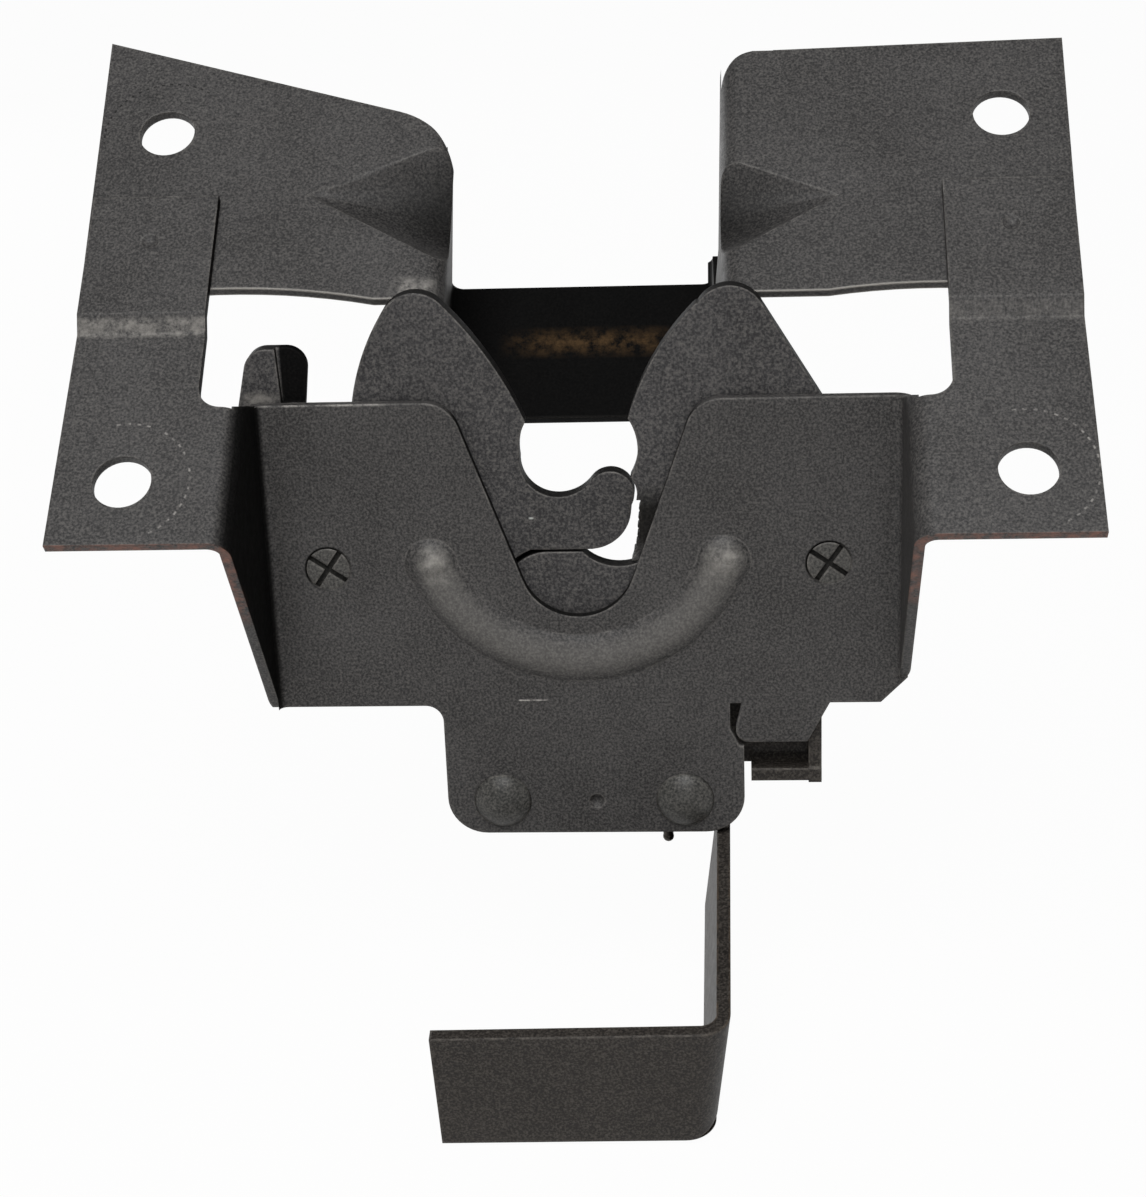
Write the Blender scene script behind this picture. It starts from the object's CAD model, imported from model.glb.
from math import cos, radians, sin
import bmesh
import bpy
from mathutils import Matrix, Vector


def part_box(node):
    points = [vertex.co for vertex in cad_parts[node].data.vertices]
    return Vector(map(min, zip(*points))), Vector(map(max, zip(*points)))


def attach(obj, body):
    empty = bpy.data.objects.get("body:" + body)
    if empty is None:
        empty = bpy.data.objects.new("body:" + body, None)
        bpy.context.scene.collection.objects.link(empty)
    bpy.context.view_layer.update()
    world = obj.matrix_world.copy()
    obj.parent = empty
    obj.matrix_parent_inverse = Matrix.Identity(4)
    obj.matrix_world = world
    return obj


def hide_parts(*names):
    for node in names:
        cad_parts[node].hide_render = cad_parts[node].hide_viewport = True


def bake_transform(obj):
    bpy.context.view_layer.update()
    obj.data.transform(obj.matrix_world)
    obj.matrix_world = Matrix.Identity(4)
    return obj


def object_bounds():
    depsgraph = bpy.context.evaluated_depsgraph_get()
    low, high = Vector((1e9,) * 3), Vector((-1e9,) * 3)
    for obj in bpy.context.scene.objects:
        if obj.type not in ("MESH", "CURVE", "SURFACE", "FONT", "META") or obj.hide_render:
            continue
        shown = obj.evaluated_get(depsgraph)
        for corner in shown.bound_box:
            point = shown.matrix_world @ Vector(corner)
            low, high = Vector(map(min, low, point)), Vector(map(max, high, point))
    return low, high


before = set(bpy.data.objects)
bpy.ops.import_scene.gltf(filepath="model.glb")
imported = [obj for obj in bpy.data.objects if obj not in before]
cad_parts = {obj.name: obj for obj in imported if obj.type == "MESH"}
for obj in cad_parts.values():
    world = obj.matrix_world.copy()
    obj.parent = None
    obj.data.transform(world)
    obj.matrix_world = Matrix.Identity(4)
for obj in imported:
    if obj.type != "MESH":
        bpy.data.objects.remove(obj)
cad_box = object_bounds()
bpy.context.scene.view_settings.view_transform = "Standard"

# Latch plate: one pressing of 2.3 mm steel sheet with a striker slot, a round bead, side webs,
# bolt flanges and a tongue. It is dipped in satin black paint, rubbed bare at its cut edges and
# marked by the bolts' toothed washers.
MM = 0.001


# Turns an sRGB hex value to linear light.
def linear(hex_colour):
    parts = [int(hex_colour[k:k + 2], 16) / 255 for k in (1, 3, 5)]
    return [p / 12.92 if p <= 0.04045 else ((p + 0.055) / 1.055) ** 2.4 for p in parts] + [1.0]


# Adds a node with its settings, values and links.
def add(tree, kind, inputs=None, **settings):
    made = tree.nodes.new(kind)
    for key, value in settings.items():
        setattr(made, key, value)
    for key, value in (inputs or {}).items():
        if isinstance(value, bpy.types.NodeSocket):
            tree.links.new(value, made.inputs[key])
        else:
            made.inputs[key].default_value = value
    return made


def new_material(name):
    material = bpy.data.materials.new(name)
    material.use_nodes = True
    return material, material.node_tree, material.node_tree.nodes["Principled BSDF"]


# The product of several shares, for a mark that shows only where all of them do.
def times(tree, *shares):
    product = shares[0]
    for share in shares[1:]:
        product = add(tree, "ShaderNodeMath", {0: product, 1: share}, operation="MULTIPLY").outputs["Value"]
    return product


# Share of a span of values, given as its two ends and how soft they are. An end of None stays open.
def within(tree, value, span):
    low, high, soft = span
    ramps = []
    if low is not None:
        ramps.append({"From Min": low - soft, "From Max": low + soft})
    if high is not None:
        ramps.append({"From Min": high + soft, "From Max": high - soft})
    ends = [add(tree, "ShaderNodeMapRange", {"Value": value, **ramp}) for ramp in ramps]
    return times(tree, *[end.outputs["Result"] for end in ends])


# Share of a zone of a piece, given as a span for each axis: places in mm, facings from -1 to 1.
def zone(tree, spot, spans):
    return times(tree, *[within(tree, spot[axis], span) for axis, span in spans.items()])


# Lays one more colour over what a paint has so far.
def paint_over(tree, hex_colour, *shares, cover=1.0):
    share = times(tree, *shares, cover)
    base = tree.nodes["Principled BSDF"].inputs["Base Color"]
    over = add(tree, "ShaderNodeMix", {"Factor": share, 6: base.links[0].from_socket, 7: linear(hex_colour)},
               data_type="RGBA")
    tree.links.new(over.outputs[2], base)
    return share


# Lays a dull black film of oil and dust over a paint, which takes its sheen as well.
def grime(tree, *shares, cover=1.0, hex_colour="#0b0b0b"):
    share = paint_over(tree, hex_colour, *shares, cover=cover)
    sheen = tree.nodes["Principled BSDF"].inputs["Specular IOR Level"]
    clean = add(tree, "ShaderNodeMath", {0: 1.0, 1: share}, operation="SUBTRACT").outputs["Value"]
    tree.links.new(times(tree, clean, sheen.links[0].from_socket if sheen.is_linked else SHEEN), sheen)


# Distance from a centre, and the way to it along two axes.
def reach(tree, across, across_mid, rise, rise_mid):
    across = add(tree, "ShaderNodeMath", {0: across, 1: across_mid}, operation="SUBTRACT").outputs["Value"]
    rise = add(tree, "ShaderNodeMath", {0: rise, 1: rise_mid}, operation="SUBTRACT").outputs["Value"]
    flat = add(tree, "ShaderNodeCombineXYZ", {"X": across, "Y": rise})
    far = add(tree, "ShaderNodeVectorMath", {0: flat.outputs["Vector"]}, operation="LENGTH")
    return far.outputs["Value"], across, rise


# Gives a CAD node its finish.
def finish(node, material):
    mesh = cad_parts[node].data
    mesh.materials.clear()
    mesh.materials.append(material)


# Satin black paint over pickled steel: near-black with a soft broad sheen, cloudy patches where it
# was handled, and a paler line where edges are rubbed. The grain of settled dust is too fine to show,
# so it is drawn as coarse as it needs to.
SHEEN = 0.25
# Size, detail and roughness of the patterns, and then the spans of values in which each mark shows.
CLOUD, SPECK, GRAIN = (26 * MM, 5, 0.6), (3.2 * MM, 6, 0.75), (0.55 * MM, 2, 0.6)
LIGHT_CLOUD, WORN_PATCH = (0.5, None, 0.15), (0.51, None, 0.11)
DUST, PIT = (0.575, None, 0.125), (None, 0.365, 0.085)
EDGE_TURN, EDGE_WIDTH, GRAIN_DEPTH = (None, 0.9475, 0.0475), 0.9 * MM, 0.1 * MM
FLANGE_LEAN = radians(50)
UP_FLANGE = (0, sin(FLANGE_LEAN), cos(FLANGE_LEAN))
OUT_OF_FLANGE = (0, -cos(FLANGE_LEAN), sin(FLANGE_LEAN))


def satin_black(name, dark, light, worn, rough):
    material, tree, shader = new_material(name)
    shader.inputs["Specular IOR Level"].default_value = SHEEN
    place = add(tree, "ShaderNodeTexCoord").outputs["Object"]
    patterns = []
    for size, detail, uneven in (CLOUD, SPECK, GRAIN):
        noise = add(tree, "ShaderNodeTexNoise", {"Vector": place, "Scale": 1 / size, "Detail": detail,
                                                 "Roughness": uneven})
        patterns.append(noise.outputs["Fac"])
    cloud, speck, grain = patterns
    body = within(tree, cloud, LIGHT_CLOUD)
    colour = add(tree, "ShaderNodeMix", {"Factor": body, 6: linear(dark), 7: linear(light)}, data_type="RGBA")
    tree.links.new(colour.outputs[2], shader.inputs["Base Color"])
    paint_over(tree, worn, within(tree, grain, DUST), cover=0.2)
    paint_over(tree, "#141414", within(tree, grain, PIT), cover=0.7)
    soft = add(tree, "ShaderNodeBevel", {"Radius": EDGE_WIDTH}, samples=6).outputs["Normal"]
    sharp = add(tree, "ShaderNodeNewGeometry").outputs["Normal"]
    turn = add(tree, "ShaderNodeVectorMath", {0: soft, 1: sharp}, operation="DOT_PRODUCT")
    edge = within(tree, turn.outputs["Value"], EDGE_TURN)
    patch = within(tree, speck, WORN_PATCH)
    paint_over(tree, worn, edge, patch, cover=0.4)
    gloss = add(tree, "ShaderNodeMapRange", {"Value": speck, "From Min": 0.3, "From Max": 0.7,
                                             "To Min": rough - 0.07, "To Max": rough + 0.09})
    relief = add(tree, "ShaderNodeBump", {"Height": grain, "Strength": 0.3, "Distance": GRAIN_DEPTH,
                                          "Normal": soft})
    tree.links.new(gloss.outputs["Result"], shader.inputs["Roughness"])
    tree.links.new(relief.outputs["Normal"], shader.inputs["Normal"])
    # Places in mm along the part's axes, up the leaning flanges from the lower bolt holes and out of them.
    scaled = add(tree, "ShaderNodeVectorMath", {0: place, "Scale": 1 / MM}, operation="SCALE")
    in_mm = scaled.outputs["Vector"]
    parts = add(tree, "ShaderNodeSeparateXYZ", {"Vector": in_mm}).outputs
    facing = add(tree, "ShaderNodeSeparateXYZ", {"Vector": sharp}).outputs
    spot = {"x": parts["X"], "y": parts["Y"], "z": parts["Z"], "right": facing["X"], "front": facing["Y"],
            "edge": edge, "patch": patch}
    for axis, what, way in (("up", in_mm, UP_FLANGE), ("out", in_mm, OUT_OF_FLANGE),
                            ("lean", sharp, OUT_OF_FLANGE)):
        along = add(tree, "ShaderNodeVectorMath", {0: what, 1: way}, operation="DOT_PRODUCT")
        spot[axis] = along.outputs["Value"]
    return material, tree, spot


# Broken ring of small marks that a toothed washer left round a bolt hole, on the side that slope gives.
WASHER_RING, WASHER_TOOTH, WASHER_SIDE = (14.35, 14.75, 0.12), (0.35, None, 0.25), (4, None, 4)


def washer_marks(tree, spot, hole_x, hole_up, teeth, slope):
    far, away, rise = reach(tree, spot["x"], hole_x, spot["up"], hole_up)
    angle = add(tree, "ShaderNodeMath", {0: rise, 1: away}, operation="ARCTAN2").outputs["Value"]
    wave = add(tree, "ShaderNodeMath", {0: times(tree, angle, teeth)}, operation="SINE").outputs["Value"]
    slant = add(tree, "ShaderNodeMath", {0: away, 1: slope, 2: rise}, operation="MULTIPLY_ADD")
    return times(tree, within(tree, far, WASHER_RING), within(tree, wave, WASHER_TOOTH),
                 within(tree, slant.outputs["Value"], WASHER_SIDE))


# Where the bolt holes and the plate's marks are, in mm.
HOLE_X, LOWER_HOLE_UP, UPPER_HOLE_UP = 95, 0, 94
FLANGE_FOOT = {"up": (None, -15.35, 0.1), "y": (None, 4, 2)}
EAR_STEP = {"up": (37.2, 41.0, 0.5)}
BEAD_CREST = {"x": (-36, 36, 2), "y": (None, 25.7, 0.7), "z": (-62, -20, 1)}
BEAD_ENDS = {"z": (-30.5, None, 3.5)}
LEFT_WEB = {"right": (0.575, None, 0.225), "x": (-90, -62, 1)}
SLOT_EDGE = {"front": (-0.55, 0.55, 0.15), "x": (-40, 38, 2), "y": (26.95, 29.1, 0.1), "z": (-43, 7, 1)}
STUD_RING = (4.6, 5.35, 0.15)
TOP_EDGE = {"x": (-68, -44, 3), "z": (8.7, 9.8, 0.2)}
TONGUE_SCRATCH = {"x": (-15.6, -9.2, 0.3), "y": (26, 27.4, 0.1), "z": (-61.75, -61.45, 0.12)}

plate_paint, tree, spot = satin_black("satin_black_dipped_plate", "#343333", "#403f3f", "#a29e99", 0.52)
# Bare brown steel along the cut lower edges of the bolt flanges, and the washers' marks above them.
paint_over(tree, "#8a655a", zone(tree, spot, FLANGE_FOOT), spot["patch"])
for hole_x in (-HOLE_X, HOLE_X):
    marks = washer_marks(tree, spot, hole_x, LOWER_HOLE_UP, teeth=41, slope=3)
    paint_over(tree, "#b9b5b0", marks, spot["patch"], cover=0.6)
# Paint rubbed thin on the ears' steps, most on the left one.
rub = add(tree, "ShaderNodeMapRange", {"Value": spot["x"], "From Min": 60, "From Max": -60,
                                       "To Min": 0.12, "To Max": 0.5}).outputs["Result"]
paint_over(tree, "#a5a19b", zone(tree, spot, EAR_STEP), rub, spot["patch"])
# The bead stands out, so it is rubbed paler on its crest and most at its ends.
crest = zone(tree, spot, BEAD_CREST)
paint_over(tree, "#a9a6a1", crest, cover=0.16)
paint_over(tree, "#aeaba5", crest, zone(tree, spot, BEAD_ENDS), spot["patch"], cover=0.5)
# Oil and dust lie on the inner face of the left web, on the slot's sheared edge and round the studs.
grime(tree, zone(tree, spot, LEFT_WEB), cover=0.9)
grime(tree, zone(tree, spot, SLOT_EDGE), cover=0.85)
# The studs are staked flush with the plate's front, so their boxes give its place.
(left_low, left_high), (right_low, right_high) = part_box("left_stud"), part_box("right_stud")
STUD_X = ((left_low.x + left_high.x) / 2, (right_low.x + right_high.x) / 2)
STUD_Z, STUD_BELOW_TOP = (left_low.z + left_high.z) / 2, 38.5 * MM
PLATE_FRONT, PLATE_TOP = left_low.y, STUD_Z + STUD_BELOW_TOP
for stud_x in STUD_X:
    far, away, rise = reach(tree, spot["x"], stud_x / MM, spot["z"], STUD_Z / MM)
    slant = add(tree, "ShaderNodeMath", {0: rise, 1: away}, operation="SUBTRACT").outputs["Value"]
    shade = add(tree, "ShaderNodeMapRange", {"Value": slant, "From Min": -6, "From Max": 3,
                                             "To Min": 0.25, "To Max": 0.95}).outputs["Result"]
    grime(tree, within(tree, far, STUD_RING), shade)
# Scraped line on the top edge beside the jaw's tail, and a scratch above the tongue.
paint_over(tree, "#c4c0ba", zone(tree, spot, TOP_EDGE), spot["edge"], spot["patch"])
paint_over(tree, "#c9c5c0", zone(tree, spot, TONGUE_SCRATCH), spot["patch"])
finish("latch_plate", plate_paint)

# Upper support: a second pressing, bent to a hat section and spot welded behind the plate's ears.
# It has the same paint, worn bright along its lower edges, and an old oil film in its channel and
# in the darts pressed across its bends.
LOWER_EDGES = {"up": (44, 51, 1)}
LEFT_CORNER = {"x": (-40, -31, 1.5), "up": (46, 51, 1.5)}
DARTS = {"out": (None, -1.65, 3.35), "lean": (0.25, None, 0.1)}
CHANNEL = {"out": (-60, -36, 7)}
RUST_BAND = {"up": (63, 68.5, 2), "x": (-16, 20, 6)}

support_paint, tree, spot = satin_black("satin_black_dipped_support", "#343333", "#403f3f", "#a09c97", 0.52)
paint_over(tree, "#c2beb7", spot["edge"], zone(tree, spot, LOWER_EDGES), cover=0.85)
paint_over(tree, "#b0aca6", zone(tree, spot, LEFT_CORNER), spot["patch"], cover=0.55)
grime(tree, zone(tree, spot, DARTS), cover=0.75)
channel = zone(tree, spot, CHANNEL)
grime(tree, channel, cover=0.85)
paint_over(tree, "#5f4a32", zone(tree, spot, RUST_BAND), channel, spot["patch"], cover=0.55)
marks = washer_marks(tree, spot, -HOLE_X, UPPER_HOLE_UP, teeth=48, slope=-0.6)
paint_over(tree, "#0c0c0c", marks, cover=0.9)
finish("upper_support", support_paint)

# Jaws: blanked from 4 mm plate and painted; their sheared edges stay dark and rough, with a
# bright rubbed rim in front. The left jaw's tail is torn along one side, and the right jaw's
# socket is torn and black with old grease along its right wall.
FLANKS = {"front": (-0.45, 0.45, 0.15)}
TORN_TAIL = {"x": (-65.6, -57, 0.3), "z": (8, 24, 1.5)}
TAIL_SCRAPE = {"x": (-74, -66, 1), "z": (9, 11.5, 0.8)}
FINGER_CHIP = {"x": (-11.7, -10.8, 0.2), "z": (-18.6, -18.2, 0.15)}
SOCKET_WALL = {"x": (11, 18.5, 1), "z": (-26.5, -13.5, 3)}

jaw_paint, tree, spot = satin_black("satin_black_painted_jaws", "#323132", "#3e3d3e", "#aaa6a0", 0.48)
grime(tree, zone(tree, spot, FLANKS), cover=0.75)
grime(tree, zone(tree, spot, TORN_TAIL), cover=0.95)
paint_over(tree, "#96928c", zone(tree, spot, TAIL_SCRAPE), spot["patch"], cover=0.6)
paint_over(tree, "#b7bab6", zone(tree, spot, FINGER_CHIP))
grime(tree, zone(tree, spot, SOCKET_WALL), cover=0.85, hex_colour="#171614")
finish("left_jaw", jaw_paint)
finish("right_jaw", jaw_paint)


# Torn rim of the right jaw's socket: the ragged wall beside the left finger's tip. It is the jaw's
# own steel under the same paint, left ragged by the blanking.
RIM_FRONT, RIM_DEPTH = PLATE_FRONT + 2.8 * MM, 3.6 * MM
RIM = ((15.8, -22.6), (15.4, -38.4), (11.0, -38.4), (11.4, -37.2), (11.9, -36.6), (11.6, -35.8),
       (12.4, -35.2), (12.1, -34.0), (12.8, -33.3), (12.4, -32.2), (13.0, -31.4), (12.5, -30.2),
       (13.1, -29.3), (12.7, -28.1), (13.2, -27.2), (12.9, -26.0), (13.4, -25.0), (13.2, -23.8),
       (13.6, -22.6))


# A piece of the scene with its own mesh.
def new_piece(name, work, material):
    bmesh.ops.recalc_face_normals(work, faces=work.faces)
    mesh = bpy.data.meshes.new(name)
    work.to_mesh(mesh)
    work.free()
    mesh.materials.append(material)
    piece = bpy.data.objects.new(name, mesh)
    bpy.context.collection.objects.link(piece)
    return piece


work = bmesh.new()
rim = work.faces.new([work.verts.new((x * MM, RIM_FRONT, PLATE_TOP + z * MM)) for x, z in RIM])
back = bmesh.ops.extrude_face_region(work, geom=[rim])["geom"]
back = [corner for corner in back if isinstance(corner, bmesh.types.BMVert)]
bmesh.ops.translate(work, vec=(0, RIM_DEPTH, 0), verts=back)
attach(new_piece("torn_rim", work, jaw_paint), "right_jaw")

# Old grease smeared on the back of the right jaw, behind the joint of the two fingers. It is full
# of dust, and looks brown-black with a wet sheen.
SMEAR_R, SMEAR_TOP_R, SMEAR_DEPTH, SMEAR_CLOUD = 3.8 * MM, 3.2 * MM, 0.3 * MM, 1.5 * MM
SMEAR_AT = (-12.8 * MM, PLATE_FRONT + 6.8 * MM, PLATE_TOP - 38 * MM)
grease, tree, shader = new_material("old_grease_smear")
place = add(tree, "ShaderNodeTexCoord").outputs["Object"]
cloud = add(tree, "ShaderNodeTexNoise", {"Vector": place, "Scale": 1 / SMEAR_CLOUD, "Detail": 3})
colour = add(tree, "ShaderNodeMix", {"Factor": cloud.outputs["Fac"], 6: linear("#0d0b09"),
                                     7: linear("#1c1712")}, data_type="RGBA")
tree.links.new(colour.outputs[2], shader.inputs["Base Color"])
shader.inputs["Roughness"].default_value = 0.45
work = bmesh.new()
bmesh.ops.create_cone(work, cap_ends=True, segments=24, radius1=SMEAR_R, radius2=SMEAR_TOP_R,
                      depth=SMEAR_DEPTH)
bmesh.ops.rotate(work, verts=work.verts, matrix=Matrix.Rotation(radians(-90), 3, "X"))
bmesh.ops.translate(work, verts=work.verts, vec=SMEAR_AT)
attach(new_piece("grease_smear", work, grease), "right_jaw")

# Studs and rivets: cold-headed steel, set before the paint, so they carry the same black with
# brighter worn crowns. Oil stands in the cross that stakes each stud.
STAKED_CROSS = {"y": (27.25, 28.2, 0.1)}
stud_paint, tree, spot = satin_black("satin_black_painted_rivets", "#383836", "#474644", "#a8a49e", 0.44)
grime(tree, zone(tree, spot, STAKED_CROSS), cover=0.8)
for name in ("left_stud", "right_stud", "lever_rivet", "anchor_rivet"):
    finish(name, stud_paint)


# Washers, bush and spacer: plain zinc-plated turned steel, slipped over the studs and rivets. Oil
# and road dust dull the plating to an uneven grey gleam.
DULLED_PATCH = 4 * MM


def plated_steel(name, dark, light, rough):
    material, tree, shader = new_material(name)
    place = add(tree, "ShaderNodeTexCoord").outputs["Object"]
    cloud = add(tree, "ShaderNodeTexNoise", {"Vector": place, "Scale": 1 / DULLED_PATCH, "Detail": 5,
                                             "Roughness": 0.65}).outputs["Fac"]
    colour = add(tree, "ShaderNodeMix", {"Factor": cloud, 6: linear(dark), 7: linear(light)},
                 data_type="RGBA")
    gloss = add(tree, "ShaderNodeMapRange", {"Value": cloud, "To Min": rough, "To Max": rough + 0.25})
    tree.links.new(colour.outputs[2], shader.inputs["Base Color"])
    tree.links.new(gloss.outputs["Result"], shader.inputs["Roughness"])
    shader.inputs["Metallic"].default_value = 1.0
    return material


zinc_plate = plated_steel("zinc_plated_turned_steel", "#5c5a56", "#a19d96", 0.34)
for name in ("left_stud_washer", "right_stud_washer", "lever_bush", "anchor_spacer"):
    finish(name, zinc_plate)

# Springs: oil-tempered drawn wire, dark with a thin sheen along each turn. The jaw spring is a
# close-wound helix with a hook at each end. It is drawn in two halves, and each half's hook goes
# with the jaw that it pulls.
spring_wire = plated_steel("oil_tempered_spring_wire", "#2a2826", "#54504b", 0.3)
for name in ("jaw_spring", "lever_spring"):
    finish(name, spring_wire)

WIRE_R, COIL_R, PITCH, HALF_TURNS, STEPS = 1.0 * MM, 3.6 * MM, 2.05 * MM, 11.5, 276
NECK_LENGTH, HOOK_LENGTH = 6 * MM, 8.2 * MM
SPRING_MID = Vector((sum(STUD_X) / 2, PLATE_FRONT + 11.6 * MM, PLATE_TOP - 53 * MM))


# A straight length of spring wire with a round end.
def wire(work, start, end):
    span = end - start
    turn = span.to_track_quat("Z", "Y").to_matrix().to_4x4()
    bmesh.ops.create_cone(work, cap_ends=True, segments=16, radius1=WIRE_R, radius2=WIRE_R, depth=span.length,
                          matrix=Matrix.Translation((start + end) / 2) @ turn)
    bmesh.ops.create_uvsphere(work, u_segments=16, v_segments=8, radius=WIRE_R,
                              matrix=Matrix.Translation(end))


for hand, ear_x, body in ((-1, STUD_X[0], "left_jaw"), (1, STUD_X[1], "right_jaw")):
    work = bmesh.new()
    first = Matrix.Translation(SPRING_MID - Vector((0, 0, COIL_R))) @ Matrix.Rotation(radians(90), 4, "X")
    ring = bmesh.ops.create_circle(work, segments=12, radius=WIRE_R, matrix=first)["verts"]
    bmesh.ops.spin(work, geom=ring + list(work.edges), cent=SPRING_MID, axis=(1, 0, 0),
                   angle=hand * radians(360) * HALF_TURNS,
                   dvec=(hand * PITCH * HALF_TURNS / STEPS, 0, 0), steps=STEPS)
    bmesh.ops.holes_fill(work, edges=[e for e in work.edges if e.is_boundary])
    last = SPRING_MID + Vector((hand * PITCH * HALF_TURNS, 0, COIL_R))
    neck = Vector((last.x + hand * NECK_LENGTH, SPRING_MID.y, SPRING_MID.z))
    ear = Vector((ear_x, SPRING_MID.y, SPRING_MID.z))
    for start, end in ((last, neck), (neck, ear), (ear, ear - Vector((0, HOOK_LENGTH, 0)))):
        wire(work, start, end)
    for face in work.faces:
        face.smooth = True
    half = new_piece("jaw_spring_left" if hand < 0 else "jaw_spring_right", work, spring_wire)
    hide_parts("jaw_spring")
    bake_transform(half)

# Release lever and rear bar: bent strip steel under the same paint, browner and darker, with the
# lever's strap rubbed to brown steel along its top edge.
STRAP_EDGE = {"x": (26, 36, 1), "y": (-36, 18, 4)}
lever_paint, tree, spot = satin_black("satin_black_painted_lever", "#221e1b", "#2b2724", "#938d85", 0.5)
paint_over(tree, "#57422a", zone(tree, spot, STRAP_EDGE), spot["edge"], spot["patch"], cover=0.8)
finish("release_lever", lever_paint)
finish("rear_bar", lever_paint)

# Lower edge of the lever's strap: a plain strip of the same painted steel along its foot. It is set
# in the strap's own slope and lean, with its lower corners rounded.
STRAP_FRONT, STRAP_BACK, STRAP_FOOT = -61.2 * MM, 10.62 * MM, -28.9 * MM
STRAP_THICK, STRAP_SIDE, FOOT_HEIGHT, FOOT_ROUND = 2.94 * MM, 1.5 * MM, 4 * MM, 0.5 * MM
STRAP_AT = Vector((29.2 * MM, PLATE_FRONT + 0.8 * MM, PLATE_TOP - 105.6 * MM))
STRAP_SLOPE, STRAP_LEAN = radians(12), radians(6.5)
strap_turn = Matrix.Rotation(STRAP_SLOPE, 4, "X") @ Matrix.Rotation(STRAP_LEAN, 4, "Y")
work = bmesh.new()
bmesh.ops.create_cube(work, size=1)
bmesh.ops.scale(work, verts=work.verts, vec=(STRAP_THICK, STRAP_BACK - STRAP_FRONT, FOOT_HEIGHT))
bmesh.ops.translate(work, verts=work.verts, vec=(STRAP_SIDE, (STRAP_BACK + STRAP_FRONT) / 2, STRAP_FOOT))
bmesh.ops.bevel(work, geom=[e for e in work.edges if all(v.co.z < STRAP_FOOT for v in e.verts)],
                offset=FOOT_ROUND, segments=3, profile=0.5, affect="EDGES", material=-1)
bmesh.ops.transform(work, verts=work.verts, matrix=Matrix.Translation(STRAP_AT) @ strap_turn)
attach(new_piece("strap_foot", work, lever_paint), "release_lever")

# Floor: a plain pale sheet of matt card under the part. It is white to the camera and in
# reflections, and keeps the part's shadow.
FLOOR_HALF, FLOOR_GAP, FLOOR_WHITE = 20.0, 0.4 * MM, 0.97
floor_mesh = bpy.data.meshes.new("floor")
work = bmesh.new()
bmesh.ops.create_grid(work, x_segments=1, y_segments=1, size=FLOOR_HALF)
bmesh.ops.translate(work, verts=work.verts, vec=(0, 0, cad_box[0][2] - FLOOR_GAP))
work.to_mesh(floor_mesh)
work.free()
floor = bpy.data.objects.new("floor", floor_mesh)
bpy.context.collection.objects.link(floor)
matt, tree, shader = new_material("matt_white_floor")
shader.inputs["Base Color"].default_value = linear("#c9c6c2")
shader.inputs["Roughness"].default_value = 0.9
path = add(tree, "ShaderNodeLightPath").outputs
seen = path["Is Camera Ray"]
for ray in ("Is Glossy Ray", "Is Transmission Ray"):
    seen = add(tree, "ShaderNodeMath", {0: seen, 1: path[ray]}, operation="MAXIMUM").outputs["Value"]
white = add(tree, "ShaderNodeEmission", {"Color": linear("#ffffff"), "Strength": 1.0})
both = add(tree, "ShaderNodeMixShader", {"Fac": times(tree, seen, FLOOR_WHITE), 1: shader.outputs["BSDF"],
                                         2: white.outputs["Emission"]})
tree.links.new(both.outputs["Shader"], tree.nodes["Material Output"].inputs["Surface"])
floor_mesh.materials.append(matt)

# Light: one large soft box above the eye, a weak one low in front, one behind for the rear
# faces, and a dim room. The first two are placed along the photograph's viewing angle.
AZIMUTH, ELEVATION, ROLL = radians(-4.243), radians(20.97), radians(-2.19)
ahead = Vector((sin(AZIMUTH) * cos(ELEVATION), cos(AZIMUTH) * cos(ELEVATION), -sin(ELEVATION)))
across = ahead.cross(Vector((0, 0, 1))).normalized()
above = across.cross(ahead)
side = across * cos(ROLL) + above * sin(ROLL)
top = side.cross(ahead)
world = bpy.data.worlds.new("room")
bpy.context.scene.world = world
world.use_nodes = True
room = world.node_tree.nodes["Background"].inputs
room["Color"].default_value = linear("#f2f1ef")
room["Strength"].default_value = 0.12
LAMP_AIM = Vector((0, 0, -0.03))


# A square lamp at some way from the aim, turned to it.
def soft_box(name, away, size, power):
    lamp = bpy.data.lights.new(name, "AREA")
    lamp.size = size
    lamp.energy = power
    made = bpy.data.objects.new(name, lamp)
    made.location = LAMP_AIM + away
    made.rotation_euler = (-away).to_track_quat("-Z", "Y").to_euler()
    bpy.context.collection.objects.link(made)


soft_box("key_box", top * 0.78 - ahead * 1.1 - side * 0.14, size=0.8, power=17)
soft_box("fill_box", -ahead * 1.2 - side * 0.1 - top * 0.25, size=0.8, power=1.6)
soft_box("back_box", Vector((-0.9, 1.0, 0.12)), size=0.7, power=6)

# Camera: set to the photograph's viewing point and angle. The lens is given in the photograph's
# pixels, of which its longer side has 1197.
EYE = Vector((35.92, -489.09, 161.54)) * MM
LENS_PX, LONG_SIDE_PX, SENSOR = 2460, 1197, 36
view = bpy.data.cameras.new("camera")
view.lens = SENSOR * LENS_PX / LONG_SIDE_PX
view.sensor_width = SENSOR
view.clip_start = 0.01
camera = bpy.data.objects.new("camera", view)
camera.matrix_world = Matrix.Translation(EYE) @ Matrix((side, top, -ahead)).transposed().to_4x4()
bpy.context.collection.objects.link(camera)
bpy.context.scene.camera = camera
